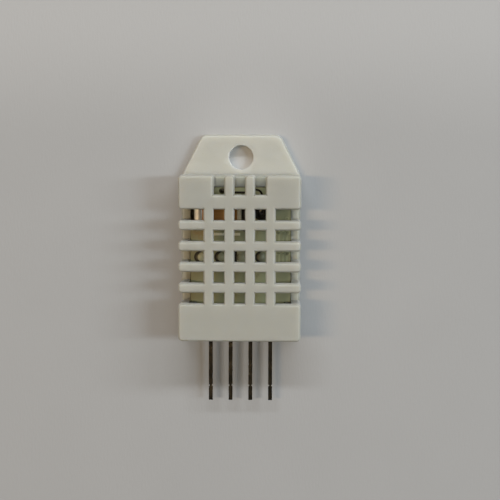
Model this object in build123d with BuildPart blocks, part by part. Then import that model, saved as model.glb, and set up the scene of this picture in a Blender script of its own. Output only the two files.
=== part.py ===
"""Temperature and humidity sensor module, lying on its back with the grille up.

The origin is under the middle of the whole module, on the surface it rests on.
X runs across the case, Y from the pins to the mounting tab, Z from back to front.
All sizes are in millimetres.
"""

import os

from build123d import *

# Case
case_width = 15.1
case_length = 20.5
case_thickness = 7.7
case_corner_radius = 0.5
parting_height = 2.0
side_wall = 1.15
end_wall = 1.5
front_skin = 1.1
back_skin = 1.0
front_edge_round = 0.3
slot_edge_round = 0.22
bar_end_round = 0.4
sill_edge_round = 0.4
parting_edge_round = 0.12

# Mounting tab
tab_reach = 5.1
tab_thickness = 1.5
tab_top_width = 9.95
tab_corner_radius = 1.2
tab_edge_round = 0.3
tab_hole_diameter = 3.1
tab_hole_rise = 2.22

# Grille slots
slot_width = 1.31
slot_height = 1.36
slot_columns = 3
column_pitch = 2.55
slot_rows = 5
first_row_rise = 5.34
last_row_drop = 4.87
side_bar_width = 1.24
top_slot_reach = 2.4
slot_sill = 0.6

# Clearances
locating_gap = 0.1
board_gap = 0.08
pin_gap = 0.05
peg_gap = 0.05
same_place = 0.001

# Lip, posts, pegs and snap hooks that hold the covers and the board together
lip_thickness = 0.6
board_lift = 0.4
post_pin_gap = 0.24
lower_post_length = 1.6
upper_post_length = 0.8
peg_to_post = 0.5
peg_inset_to_post = 0.625
peg_inset_y = 0.95
peg_rise = 1.0
hook_width = 1.1
hook_reach = 2.5
hook_nose = 0.35
hook_nose_height = 0.8
hook_post_gap = 0.15

# Circuit board
board_thickness = 1.0
board_corner_radius = 0.4
hook_notch_depth = 0.7
vent_notch_depth = 0.45
vent_notch_drop = 2.2
routed_slot_width = 1.0
routed_slot_x = 0.6
routed_slot_drop = 0.8
routed_slot_head_gap = 1.0
plating = 0.05

# Connector pins
pin_count = 4
pin_pitch = 2.54
pin_width = 0.5
pin_thickness = 0.25
pin_free_length = 8.4
pin_bend_radius = 0.42
pin_stub = 0.6
pin_notch_setback = 6.5
pin_notch_height = 0.3
pin_notch_depth = 0.15
pin_row_inset = 1.6
pin_hole_diameter = 0.9
pin_pad_diameter = 1.4
pin_fillet_height = 0.22
pin_fillet_top = 0.7

# Test points
test_point_count = 4
test_point_pitch = 2.56
test_point_lip_gap = 0.02
test_point_gap = 0.4
square_point_index = 2
test_hole_diameter = 0.7
test_pad_diameter = 1.1
square_pad_length = 1.5
relief_ring_width = 0.2
relief_ring_depth = 0.08
test_dome_height = 0.16

# Humidity element
element_length = 2.6
element_edge_gap = 0.6
element_slot_gap = 0.01
element_hook_gap = 0.25
carrier_thickness = 0.4
carrier_clearance = 0.9
comb_thickness = 0.04
comb_finger_count = 10
comb_finger_width = 0.14
comb_spine_width = 0.25
film_thickness = 0.06
film_margin = 0.2
clip_thickness = 0.12
left_clip_grip = 0.85
right_clip_grip = 0.38
clip_crown = 0.12
clip_width = 2.2
clip_foot = 0.7
clip_solder_height = 0.12
clip_solder_margin = 0.15
clip_solder_slope = 20

# Temperature sensor bead
bead_offset_x = 0.2
bead_head_gap = 1.2
bead_length = 3.0
bead_neck_diameter = 0.9
bead_board_gap = 0.1
bead_front_gap = 0.6
chip_side = 0.9
chip_thickness = 0.5
chip_setback = 1.25
bead_lead_diameter = 0.26
bead_lead_pitch = 0.4
bead_lead_offset = -0.25
bead_lead_bend = 0.3
short_lead_bend = 0.72
short_lead_head_gap = 0.32
short_lead_run = 1.0
short_lead_step = 0.35
short_lead_dip = 0.5
long_lead_turn_setback = 0.2
long_lead_step = 1.4
long_lead_head_gap = 0.68
long_lead_run = 2.7
long_lead_end_step = 0.55
lead_hole_inset = 0.4
lead_hole_diameter = 0.5
lead_pad_diameter = 0.7
lead_fillet_height = 0.3
lead_fillet_top = 0.4
lead_tail = 0.4

# Microcontroller
controller_width = 4.4
controller_length = 5.0
controller_thickness = 0.95
controller_standoff = 0.1
controller_pin_gap = 0.3
controller_leads_per_side = 7
controller_lead_pitch = 0.65
controller_lead_width = 0.22
controller_lead_thickness = 0.12
controller_lead_reach = 1.0
controller_lead_foot = 0.5

# Small surface-mounted chips
chip_length = 1.6
chip_width = 0.8
chip_end_length = 0.3
chip_end_thickness = 0.03
capacitor_height = 0.8
resistor_height = 0.45
chip_lip_gap = 0.95
chip_pin_gap = 0.55
upper_chip_rise = 0.9

# Places worked out from the sizes above
overall_length = case_length + tab_reach + pin_free_length
case_foot = pin_free_length - overall_length / 2
case_head = case_foot + case_length
case_middle = (case_foot + case_head) / 2
half_width = case_width / 2
inner_half_width = half_width - side_wall
inner_foot = case_foot + end_wall
inner_head = case_head - end_wall
ceiling = case_thickness - front_skin
sill_height = parting_height + slot_sill
board_half_width = inner_half_width - board_gap
board_foot = inner_foot + board_gap
board_head = inner_head - board_gap
board_middle = (board_foot + board_head) / 2
board_back = parting_height + board_lift
board_front = board_back + board_thickness
lip_half_width = inner_half_width - locating_gap
lip_foot = inner_foot + locating_gap
lip_head = inner_head - locating_gap
hook_inner_x = lip_half_width - lip_thickness
hook_top = board_back + hook_reach
lower_hook_y = inner_foot + lower_post_length + hook_post_gap + hook_width / 2
upper_hook_y = inner_head - upper_post_length - hook_post_gap - hook_width / 2
hook_ys = [lower_hook_y, upper_hook_y]
vent_relief_head = upper_hook_y - hook_width / 2 - locating_gap
pin_hole_y = board_foot + pin_row_inset
pin_xs = [(i - (pin_count - 1) / 2) * pin_pitch for i in range(pin_count)]
pin_pad_head = pin_hole_y + pin_pad_diameter / 2
post_width = inner_half_width - pin_xs[-1] - pin_pad_diameter / 2 - post_pin_gap
peg_diameter = post_width * peg_to_post
peg_x = inner_half_width - post_width * peg_inset_to_post
peg_y = inner_foot + peg_inset_y
column_xs = [(i - (slot_columns - 1) / 2) * column_pitch for i in range(slot_columns)]
side_slot_reach = half_width - column_xs[-1] - slot_width / 2 - side_bar_width
row_pitch = (case_length - first_row_rise - last_row_drop) / (slot_rows - 1)
row_ys = [case_foot + first_row_rise + i * row_pitch for i in range(slot_rows)]
controller_y = pin_pad_head + controller_pin_gap + controller_length / 2
test_point_y = controller_y + controller_length / 2 + test_point_gap + test_pad_diameter / 2
test_point_first_x = test_pad_diameter / 2 + test_point_lip_gap - hook_inner_x
test_points = [(test_point_first_x + i * test_point_pitch, test_point_y)
               for i in range(test_point_count)]
square_point = test_points[square_point_index]
round_points = [point for point in test_points if point is not square_point]
element_left = element_edge_gap + clip_thickness - board_half_width
element_right = routed_slot_x - routed_slot_width / 2 - element_slot_gap - clip_thickness
element_width = element_right - element_left
element_x = (element_left + element_right) / 2
film_left = element_left + left_clip_grip
film_right = element_right - right_clip_grip
film_x = (film_left + film_right) / 2
film_half_width = (film_right - film_left) / 2
element_head = upper_hook_y - hook_width / 2 - element_hook_gap
element_foot = element_head - element_length
element_middle = (element_foot + element_head) / 2
routed_slot_foot = element_foot - routed_slot_drop
routed_slot_length = inner_head - routed_slot_head_gap - routed_slot_foot
bead_x = column_xs[-1] + bead_offset_x
bead_top = inner_head - bead_head_gap
bead_foot = bead_top - bead_length
bead_diameter = ceiling - board_front - bead_board_gap - bead_front_gap
short_lead_x = bead_x + bead_lead_offset + bead_lead_pitch / 2
short_lead_turn_x = short_lead_x - short_lead_run
short_lead_y = inner_head - short_lead_head_gap
long_lead_x = short_lead_x - bead_lead_pitch
long_lead_step_x = long_lead_x - long_lead_step
long_lead_run_end_x = long_lead_step_x - long_lead_run
long_lead_y = inner_head - long_lead_head_gap
lead_hole_y = board_head - lead_hole_inset
short_lead_end = (short_lead_turn_x - short_lead_step, lead_hole_y)
long_lead_end = (long_lead_run_end_x - long_lead_end_step, lead_hole_y)
lead_ends = [short_lead_end, long_lead_end]
chip_x = hook_inner_x - chip_lip_gap - chip_width / 2
pull_up_y = pin_pad_head + chip_pin_gap + chip_length / 2
upper_chip_y = routed_slot_foot + upper_chip_rise

os.makedirs("parts", exist_ok=True)


def finish(piece, name):
    """Label a finished piece and write it under its own name."""
    piece.part.label = name
    export_step(piece.part, f"parts/{name}.step")


# Back cover: tray, mounting tab, lip that carries the board, pegs and snap hooks
with BuildPart() as back_cover:
    with BuildSketch() as tray_outline:
        with Locations((0, case_middle)):
            RectangleRounded(case_width, case_length, case_corner_radius)
    extrude(amount=parting_height)
    fillet(back_cover.edges().group_by(Axis.Z)[-1], radius=parting_edge_round)
    with BuildSketch() as tab_outline:
        with BuildLine():
            Polyline(
                (-half_width, case_head - case_corner_radius),
                (-half_width, case_head),
                (-tab_top_width / 2, case_head + tab_reach),
                (tab_top_width / 2, case_head + tab_reach),
                (half_width, case_head),
                (half_width, case_head - case_corner_radius),
                close=True,
            )
        make_face()
        fillet(tab_outline.vertices().group_by(Axis.Y)[-1], radius=tab_corner_radius)
    extrude(amount=tab_thickness)
    tab_rim = back_cover.edges().filter_by(
        lambda edge: abs(edge.center().Z - tab_thickness) < same_place
        and edge.center().Y > case_head + same_place
    )
    fillet(tab_rim, radius=tab_edge_round)
    with Locations((0, case_head + tab_hole_rise, tab_thickness)):
        Hole(radius=tab_hole_diameter / 2)
    # Lip inside the front cover's walls, level with the underside of the board
    with BuildSketch(Plane.XY.offset(parting_height)) as lip_outline:
        with Locations((0, case_middle)):
            Rectangle(2 * lip_half_width, lip_head - lip_foot)
    extrude(amount=board_back - parting_height)
    with BuildSketch(Plane.XY.offset(back_skin)) as tray_pocket:
        with Locations((0, case_middle)):
            RectangleRounded(
                2 * (lip_half_width - lip_thickness),
                lip_head - lip_foot - 2 * lip_thickness,
                case_corner_radius,
            )
    extrude(amount=board_back - back_skin, mode=Mode.SUBTRACT)
    # Pegs that pass through the board into the front cover's posts
    with BuildSketch(Plane.XY.offset(back_skin)) as peg_sketch:
        with Locations((-peg_x, peg_y), (peg_x, peg_y)):
            Circle(peg_diameter / 2)
    extrude(amount=board_front + peg_rise - back_skin)
    # Snap hooks: an arm beside the wall with a nose that points outward
    for side in (-1, 1):
        for hook_y in hook_ys:
            hook_plane = Plane.XZ.offset(-hook_y)
            with BuildSketch(hook_plane) as hook_profile:
                with BuildLine():
                    Polyline(
                        (side * hook_inner_x, back_skin),
                        (side * lip_half_width, back_skin),
                        (side * lip_half_width, hook_top - hook_nose_height),
                        (side * (lip_half_width + hook_nose), hook_top - hook_nose_height),
                        (side * lip_half_width, hook_top),
                        (side * hook_inner_x, hook_top),
                        close=True,
                    )
                make_face()
            extrude(amount=hook_width / 2, both=True)
    # Channels for the four pins at the parting line
    with BuildSketch(Plane.XY.offset(parting_height - pin_thickness / 2 - pin_gap)) as channels:
        for x in pin_xs:
            with Locations((x, case_foot)):
                Rectangle(
                    pin_width + 2 * pin_gap,
                    end_wall + locating_gap + lip_thickness,
                    align=(Align.CENTER, Align.MIN),
                )
    extrude(amount=board_back - parting_height + pin_thickness / 2 + pin_gap, mode=Mode.SUBTRACT)
    # The lip is cut away under the bead's solder joints and under the board's vent notch
    with BuildSketch(Plane.XY.offset(back_skin)) as lip_reliefs:
        for x, y in lead_ends:
            with Locations((x, lip_head)):
                Rectangle(
                    lead_pad_diameter + 2 * locating_gap,
                    lip_thickness + locating_gap,
                    align=(Align.CENTER, Align.MAX),
                )
        with Locations((-lip_half_width, vent_relief_head)):
            Rectangle(
                lip_thickness + locating_gap,
                vent_notch_drop,
                align=(Align.MIN, Align.MAX),
            )
    extrude(amount=board_back - back_skin, mode=Mode.SUBTRACT)
finish(back_cover, "back_cover")


# Front cover: walls and grille in one moulding
def sill_edges(cover):
    """Level outer edges of the sills that the slots run out over."""
    level = cover.edges().filter_by(lambda edge: abs(edge.center().Z - sill_height) < same_place)
    return level.filter_by(
        lambda edge: abs(abs(edge.center().X) - half_width) < same_place
        or abs(edge.center().Y - case_head) < same_place
    )


def bar_end_edges(cover):
    """Upright edges where the side slots and the upper slots run out through the walls."""
    upright = cover.edges().filter_by(Axis.Z)
    on_sides = upright.filter_by(
        lambda edge: abs(abs(edge.center().X) - half_width) < same_place
        and abs(edge.center().Y - case_middle) < case_length / 2 - case_corner_radius - same_place
    )
    on_head = upright.filter_by(
        lambda edge: abs(edge.center().Y - case_head) < same_place
        and abs(edge.center().X) < half_width - case_corner_radius - same_place
    )
    return on_sides + on_head


with BuildPart() as front_cover:
    with BuildSketch(Plane.XY.offset(parting_height)) as shell_outline:
        with Locations((0, case_middle)):
            RectangleRounded(case_width, case_length, case_corner_radius)
    extrude(amount=case_thickness - parting_height)
    fillet(front_cover.edges().group_by(Axis.Z)[0], radius=parting_edge_round)
    with BuildSketch(Plane.XY.offset(parting_height)) as cavity:
        with Locations((0, case_middle)):
            Rectangle(2 * inner_half_width, inner_head - inner_foot)
    extrude(amount=ceiling - parting_height, mode=Mode.SUBTRACT)
    # Slots, cut from the front down to the sill
    with BuildSketch(Plane.XY.offset(sill_height)) as slots:
        for y in row_ys:
            for x in column_xs:
                with Locations((x, y)):
                    Rectangle(slot_width, slot_height)
            for side, edge_of_slot in ((-1, Align.MIN), (1, Align.MAX)):
                with Locations((side * half_width, y)):
                    Rectangle(side_slot_reach, slot_height, align=(edge_of_slot, Align.CENTER))
        for x in column_xs:
            with Locations((x, case_head)):
                Rectangle(slot_width, top_slot_reach, align=(Align.CENTER, Align.MAX))
    extrude(amount=case_thickness - sill_height, mode=Mode.SUBTRACT)
    fillet(sill_edges(front_cover), radius=sill_edge_round)
    fillet(bar_end_edges(front_cover), radius=bar_end_round)
    fillet(front_cover.faces().sort_by(Axis.Z)[-1].outer_wire().edges(), radius=front_edge_round)
    front_face = front_cover.faces().sort_by(Axis.Z)[-1]
    fillet(front_face.inner_wires().edges(), radius=slot_edge_round)
    # Posts that press the board onto the lip
    with BuildSketch(Plane.XY.offset(board_front)) as posts:
        for side, wall_side in ((-1, Align.MIN), (1, Align.MAX)):
            with Locations((side * inner_half_width, inner_foot)):
                Rectangle(post_width, lower_post_length, align=(wall_side, Align.MIN))
            with Locations((side * inner_half_width, inner_head)):
                Rectangle(post_width, upper_post_length, align=(wall_side, Align.MAX))
    extrude(amount=ceiling - board_front)
    # Blind bores in the lower posts for the pegs
    with BuildSketch(Plane.XY.offset(board_front)) as peg_bores:
        with Locations((-peg_x, peg_y), (peg_x, peg_y)):
            Circle(peg_diameter / 2 + peg_gap)
    extrude(amount=peg_rise + peg_gap, mode=Mode.SUBTRACT)
    # Pockets in the walls that the snap hooks catch in
    with BuildSketch(Plane.XY.offset(hook_top - hook_nose_height - locating_gap)) as pockets:
        for hook_y in hook_ys:
            with Locations((0, hook_y)):
                Rectangle(
                    2 * (lip_half_width + hook_nose + locating_gap),
                    hook_width + 2 * locating_gap,
                )
    extrude(amount=hook_nose_height + 2 * locating_gap, mode=Mode.SUBTRACT)
    # Upper halves of the pin channels
    with BuildSketch(Plane.XY.offset(parting_height)) as channels_above:
        for x in pin_xs:
            with Locations((x, case_foot)):
                Rectangle(pin_width + 2 * pin_gap, end_wall, align=(Align.CENTER, Align.MIN))
    extrude(amount=pin_thickness / 2 + pin_gap, mode=Mode.SUBTRACT)
finish(front_cover, "front_cover")


# Connector pins: flat strip that runs in at the parting line and turns up through the board
def make_pin(x):
    """One pin with its right-angle bend and break-off notch."""
    with BuildPart() as pin:
        with BuildSketch(Plane.YZ.offset(x)) as pin_side:
            with BuildLine() as pin_run:
                FilletPolyline(
                    (case_foot - pin_free_length, parting_height),
                    (pin_hole_y, parting_height),
                    (pin_hole_y, board_front + pin_stub),
                    radius=pin_bend_radius,
                )
            trace(line_width=pin_thickness)
        extrude(amount=pin_width / 2, both=True)
        with BuildSketch(Plane.XY.offset(parting_height - pin_thickness)) as notches:
            for side in (-1, 1):
                with BuildLine():
                    Polyline(
                        (x + side * pin_width, case_foot - pin_notch_setback + pin_notch_height / 2),
                        (x + side * pin_width / 2, case_foot - pin_notch_setback + pin_notch_height / 2),
                        (x + side * (pin_width / 2 - pin_notch_depth), case_foot - pin_notch_setback),
                        (x + side * pin_width / 2, case_foot - pin_notch_setback - pin_notch_height / 2),
                        (x + side * pin_width, case_foot - pin_notch_setback - pin_notch_height / 2),
                        close=True,
                    )
                make_face()
        extrude(amount=2 * pin_thickness, mode=Mode.SUBTRACT)
    return pin


pins = []
for pin_name, pin_x in zip(("power_pin", "data_pin", "spare_pin", "ground_pin"), pin_xs):
    pins.append(make_pin(pin_x))
    finish(pins[-1], pin_name)


# Circuit board
with BuildPart() as circuit_board:
    with BuildSketch(Plane.XY.offset(board_back)) as board_outline:
        with Locations((0, board_middle)):
            RectangleRounded(2 * board_half_width, board_head - board_foot, board_corner_radius)
        # Notches that clear the snap hooks
        for side, wall_side in ((-1, Align.MIN), (1, Align.MAX)):
            for hook_y in hook_ys:
                with Locations((side * board_half_width, hook_y)):
                    Rectangle(
                        hook_notch_depth + locating_gap,
                        hook_width + 2 * locating_gap,
                        align=(wall_side, Align.CENTER),
                        mode=Mode.SUBTRACT,
                    )
        # A shallow notch runs on from the upper left one, beside the humidity element
        with Locations((-board_half_width, upper_hook_y)):
            Rectangle(
                vent_notch_depth,
                hook_width / 2 + vent_notch_drop,
                align=(Align.MIN, Align.MAX),
                mode=Mode.SUBTRACT,
            )
        # Routed slot that keeps the bead's heat away from the humidity element
        with Locations((routed_slot_x, routed_slot_foot + routed_slot_length / 2)):
            SlotOverall(routed_slot_length, routed_slot_width, rotation=90, mode=Mode.SUBTRACT)
        with Locations((-peg_x, peg_y), (peg_x, peg_y)):
            Circle(peg_diameter / 2 + 2 * peg_gap, mode=Mode.SUBTRACT)
        for x in pin_xs:
            with Locations((x, pin_hole_y)):
                Circle(pin_hole_diameter / 2, mode=Mode.SUBTRACT)
        with Locations(*test_points):
            Circle(test_hole_diameter / 2, mode=Mode.SUBTRACT)
        with Locations(*lead_ends):
            Circle(lead_hole_diameter / 2, mode=Mode.SUBTRACT)
    extrude(amount=board_thickness)
    # Bare rings round the test points
    with BuildSketch(Plane.XY.offset(board_front)) as relief_rings:
        with Locations(*round_points):
            Circle(test_pad_diameter / 2 + relief_ring_width)
            Circle(test_pad_diameter / 2, mode=Mode.SUBTRACT)
        with Locations(square_point):
            Rectangle(
                test_pad_diameter + 2 * relief_ring_width,
                square_pad_length + 2 * relief_ring_width,
            )
            Rectangle(test_pad_diameter, square_pad_length, mode=Mode.SUBTRACT)
    extrude(amount=-relief_ring_depth, mode=Mode.SUBTRACT)
finish(circuit_board, "circuit_board")


# Plated holes: a thin pad on each face joined by a tube
def make_eyelets(points, hole_diameter, pad_diameter, square_points=()):
    """Plated holes at the given places, some of them with square pads."""
    with BuildPart() as eyelets:
        for height in (board_back - plating, board_front):
            with BuildSketch(Plane.XY.offset(height)) as pads:
                with Locations(*points):
                    Circle(pad_diameter / 2)
                if square_points:
                    with Locations(*square_points):
                        Rectangle(pad_diameter, square_pad_length)
            extrude(amount=plating)
        with BuildSketch(Plane.XY.offset(board_back)) as barrels:
            with Locations(*points):
                Circle(hole_diameter / 2)
        extrude(amount=board_thickness)
        with BuildSketch(Plane.XY.offset(board_back - plating)) as bores:
            with Locations(*points):
                Circle(hole_diameter / 2 - plating)
        extrude(amount=board_thickness + 2 * plating, mode=Mode.SUBTRACT)
    return eyelets


pin_hole_points = [(x, pin_hole_y) for x in pin_xs]
pin_eyelets = make_eyelets(pin_hole_points, pin_hole_diameter, pin_pad_diameter)
finish(pin_eyelets, "pin_eyelets")
test_eyelets = make_eyelets(test_points, test_hole_diameter, test_pad_diameter, [square_point])
finish(test_eyelets, "test_point_eyelets")
lead_eyelets = make_eyelets(lead_ends, lead_hole_diameter, lead_pad_diameter)
finish(lead_eyelets, "bead_lead_eyelets")


# Solder joints
def make_joints(points, hole_diameter, foot_diameter, top_diameter, height):
    """Solder that fills each plated hole and climbs the wire in it."""
    low_pad = board_back - plating
    high_pad = board_front + plating
    with BuildPart() as joints:
        with BuildSketch(Plane.XY.offset(low_pad)) as fills:
            with Locations(*points):
                Circle(hole_diameter / 2 - plating)
        extrude(amount=high_pad - low_pad)
        with Locations(*[(x, y, low_pad) for x, y in points]):
            Cone(
                top_diameter / 2,
                foot_diameter / 2,
                height,
                align=(Align.CENTER, Align.CENTER, Align.MAX),
            )
        with Locations(*[(x, y, high_pad) for x, y in points]):
            Cone(
                foot_diameter / 2,
                top_diameter / 2,
                height,
                align=(Align.CENTER, Align.CENTER, Align.MIN),
            )
    return joints


with BuildPart() as pin_solder:
    add(make_joints(
        pin_hole_points,
        pin_hole_diameter,
        pin_pad_diameter,
        pin_fillet_top,
        pin_fillet_height,
    ).part)
    for pin in pins:
        add(pin.part, mode=Mode.SUBTRACT)
finish(pin_solder, "pin_solder")

test_fill_radius = test_hole_diameter / 2 - plating
dome_foot = test_pad_diameter / 2 - plating

with BuildPart() as solder_dome:
    with BuildSketch(Plane.XZ) as dome_profile:
        with BuildLine():
            Line((0, -board_thickness - plating), (0, test_dome_height))
            TangentArc((0, test_dome_height), (dome_foot, 0), tangent=(1, 0))
            Line((dome_foot, 0), (test_fill_radius, 0))
            Line((test_fill_radius, 0), (test_fill_radius, -board_thickness - plating))
            Line((test_fill_radius, -board_thickness - plating), (0, -board_thickness - plating))
        make_face()
    revolve(axis=Axis.Z)

with BuildPart() as test_point_solder:
    with Locations(*[(x, y, board_front + plating) for x, y in test_points]):
        add(solder_dome.part)
finish(test_point_solder, "test_point_solder")


# Humidity element: carrier plate on two clips, with comb electrodes under a film
carrier_low = board_front + carrier_clearance
carrier_top = carrier_low + carrier_thickness
comb_half_length = element_length / 2 - film_margin

with BuildPart() as element_carrier:
    with BuildSketch(Plane.XY.offset(carrier_low)) as carrier_outline:
        with Locations((element_x, element_middle)):
            Rectangle(element_width, element_length)
    extrude(amount=carrier_thickness)
finish(element_carrier, "humidity_carrier")

comb_reach = 2 * film_half_width - comb_spine_width
finger_step = 2 * comb_half_length / comb_finger_count

with BuildPart() as comb_electrodes:
    with BuildSketch(Plane.XY.offset(carrier_top)) as combs:
        for side, inward in ((-1, Align.MIN), (1, Align.MAX)):
            with Locations((film_x + side * film_half_width, element_middle)):
                Rectangle(
                    comb_spine_width,
                    2 * comb_half_length,
                    align=(inward, Align.CENTER),
                )
            for i in range(comb_finger_count):
                if (i % 2 == 0) == (side < 0):
                    finger_y = element_middle - comb_half_length + (i + 0.5) * finger_step
                    with Locations((film_x + side * film_half_width, finger_y)):
                        Rectangle(
                            comb_reach - comb_spine_width,
                            comb_finger_width,
                            align=(inward, Align.CENTER),
                        )
    extrude(amount=comb_thickness)
finish(comb_electrodes, "comb_electrodes")

with BuildPart() as humidity_film:
    with BuildSketch(Plane.XY.offset(carrier_top)) as film_outline:
        with Locations((film_x, element_middle)):
            Rectangle(2 * film_half_width, element_length - film_margin)
    extrude(amount=comb_thickness + film_thickness)
    add(comb_electrodes.part, mode=Mode.SUBTRACT)
finish(humidity_film, "humidity_film")


def make_clip(side, grip):
    """Formed strip that grips one end of the carrier and stands on the board."""
    inner = element_width / 2 - grip
    outer = element_width / 2 + clip_thickness
    shoulder = carrier_top + clip_thickness / 2
    with BuildPart() as clip:
        with BuildSketch(Plane.XZ.offset(-element_middle)) as clip_profile:
            with BuildLine():
                ThreePointArc(
                    (element_x + side * outer, shoulder),
                    (element_x + side * (inner + outer) / 2, shoulder + clip_crown),
                    (element_x + side * inner, shoulder),
                )
                Polyline(
                    (element_x + side * inner, shoulder),
                    (element_x + side * inner, carrier_top),
                    (element_x + side * element_width / 2, carrier_top),
                    (element_x + side * element_width / 2, board_front + clip_thickness),
                    (element_x + side * (outer - clip_foot), board_front + clip_thickness),
                    (element_x + side * (outer - clip_foot), board_front),
                    (element_x + side * outer, board_front),
                    (element_x + side * outer, shoulder),
                )
            make_face()
        extrude(amount=clip_width / 2, both=True)
    return clip


left_clip = make_clip(-1, left_clip_grip)
finish(left_clip, "left_sensor_clip")
right_clip = make_clip(1, right_clip_grip)
finish(right_clip, "right_sensor_clip")

with BuildPart() as clip_solder:
    for side in (-1, 1):
        foot_x = element_x + side * (element_width / 2 + clip_thickness - clip_foot)
        with BuildSketch(Plane.XY.offset(board_front)) as solder_foot:
            with Locations((foot_x, element_middle)):
                Rectangle(2 * clip_solder_margin, clip_width)
        extrude(amount=clip_solder_height, taper=clip_solder_slope)
    add(left_clip.part, mode=Mode.SUBTRACT)
    add(right_clip.part, mode=Mode.SUBTRACT)
finish(clip_solder, "sensor_clip_solder")


# Temperature sensor: a small chip with two leads, dipped in black resin
bead_radius = bead_diameter / 2
bead_height = board_front + bead_board_gap + bead_radius
chip_y = bead_foot + chip_setback
lead_start_y = chip_y + chip_side / 2
lead_tip = board_back - lead_tail

with BuildPart() as thermistor_chip:
    with BuildSketch(Plane.XY.offset(bead_height - chip_thickness / 2)) as chip_outline:
        with Locations((bead_x, chip_y)):
            Rectangle(chip_side, chip_side)
    extrude(amount=chip_thickness)
finish(thermistor_chip, "thermistor_chip")


def make_lead(route, bends):
    """Round wire that follows a route, with one bend radius for all corners or one each."""
    with BuildPart() as lead:
        with BuildLine() as lead_path:
            FilletPolyline(*route, radius=bends)
        with BuildSketch(Plane(origin=route[0], z_dir=(0, 1, 0))) as lead_section:
            Circle(bead_lead_diameter / 2)
        sweep()
    return lead


short_lead = make_lead(
    [
        (short_lead_x, lead_start_y, bead_height),
        (short_lead_x, short_lead_y, bead_height),
        (short_lead_turn_x, short_lead_y, bead_height),
        (*short_lead_end, bead_height - short_lead_dip),
        (*short_lead_end, lead_tip),
    ],
    [short_lead_bend, bead_lead_bend / 2, bead_lead_bend / 2],
)
finish(short_lead, "short_bead_lead")
long_lead = make_lead(
    [
        (long_lead_x, lead_start_y, bead_height),
        (long_lead_x, bead_top - long_lead_turn_setback, bead_height),
        (long_lead_step_x, long_lead_y, bead_height),
        (long_lead_run_end_x, long_lead_y, bead_height),
        (*long_lead_end, bead_height),
        (*long_lead_end, lead_tip),
    ],
    bead_lead_bend,
)
finish(long_lead, "long_bead_lead")

with BuildPart() as bead_coating:
    with BuildSketch(Plane.XY) as bead_profile:
        with BuildLine():
            Line((0, 0), (0, bead_length))
            Line((0, bead_length), (bead_neck_diameter / 2, bead_length))
            TangentArc(
                (bead_radius, bead_radius),
                (bead_neck_diameter / 2, bead_length),
                tangent=(0, 1),
            )
            CenterArc((0, bead_radius), bead_radius, -90, 90)
        make_face()
    revolve(axis=Axis.Y)

with BuildPart() as thermistor_coating:
    with Locations((bead_x, bead_foot, bead_height)):
        add(bead_coating.part)
    add(thermistor_chip.part, mode=Mode.SUBTRACT)
    add(short_lead.part, mode=Mode.SUBTRACT)
    add(long_lead.part, mode=Mode.SUBTRACT)
finish(thermistor_coating, "thermistor_coating")

with BuildPart() as bead_lead_solder:
    add(make_joints(
        lead_ends,
        lead_hole_diameter,
        lead_pad_diameter,
        lead_fillet_top,
        lead_fillet_height,
    ).part)
    add(short_lead.part, mode=Mode.SUBTRACT)
    add(long_lead.part, mode=Mode.SUBTRACT)
finish(bead_lead_solder, "bead_lead_solder")


# Microcontroller on the back of the board
controller_top = board_back - controller_standoff
controller_low = controller_top - controller_thickness
lead_shoulder = controller_top - controller_thickness / 2

with BuildPart() as microcontroller_body:
    with BuildSketch(Plane.XY.offset(controller_low)) as controller_outline:
        with Locations((0, controller_y)):
            Rectangle(controller_width, controller_length)
    extrude(amount=controller_thickness)
    chamfer(
        microcontroller_body.edges().group_by(Axis.Z)[0],
        length=controller_standoff,
    )
finish(microcontroller_body, "microcontroller_body")

with BuildPart() as gull_lead:
    with BuildSketch(Plane.XZ) as lead_profile:
        with BuildLine():
            Polyline(
                (0, lead_shoulder),
                (controller_lead_reach - controller_lead_foot, lead_shoulder),
                (controller_lead_reach - controller_lead_foot, board_back - controller_lead_thickness / 2),
                (controller_lead_reach, board_back - controller_lead_thickness / 2),
            )
        trace(line_width=controller_lead_thickness)
    extrude(amount=controller_lead_width / 2, both=True)

with BuildPart() as microcontroller_leads:
    for i in range(controller_leads_per_side):
        lead_y = controller_y + (i - (controller_leads_per_side - 1) / 2) * controller_lead_pitch
        with Locations((controller_width / 2, lead_y, 0)):
            add(gull_lead.part)
        with Locations(Location((-controller_width / 2, lead_y, 0), (0, 0, 180))):
            add(gull_lead.part)
finish(microcontroller_leads, "microcontroller_leads")


# Capacitor and resistors on the back of the board
def make_chip(x, y, height):
    """Body and two metal end caps of one surface-mounted chip, hanging under the board."""
    centre = (x, y)
    core_length = chip_length - 2 * chip_end_thickness
    with BuildPart() as ends:
        with BuildSketch(Plane.XY.offset(board_back)) as ends_outline:
            with Locations(centre):
                Rectangle(chip_width, chip_length)
                Rectangle(chip_width, chip_length - 2 * chip_end_length, mode=Mode.SUBTRACT)
        extrude(amount=-height)
        with BuildSketch(Plane.XY.offset(board_back - chip_end_thickness)) as core:
            with Locations(centre):
                Rectangle(chip_width, core_length)
        extrude(amount=-(height - 2 * chip_end_thickness), mode=Mode.SUBTRACT)
    with BuildPart() as body:
        with BuildSketch(Plane.XY.offset(board_back - chip_end_thickness)) as body_outline:
            with Locations(centre):
                Rectangle(chip_width, core_length)
        extrude(amount=-(height - 2 * chip_end_thickness))
    return body, ends


chips = (
    ("supply_capacitor", -chip_x, upper_chip_y, capacitor_height),
    ("pull_up_resistor", chip_x, pull_up_y, resistor_height),
    ("divider_resistor", chip_x, upper_chip_y, resistor_height),
)
for chip_name, place_x, place_y, chip_height in chips:
    chip_body, chip_ends = make_chip(place_x, place_y, chip_height)
    finish(chip_body, f"{chip_name}_body")
    finish(chip_ends, f"{chip_name}_ends")
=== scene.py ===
"""Looks for a temperature and humidity sensor module: finishes, fine board detail and the studio round it.

Everything is in metres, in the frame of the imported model: X runs across the case, Y from the pins to the
mounting tab and Z from the back cover to the grille.
"""

import math

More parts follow.
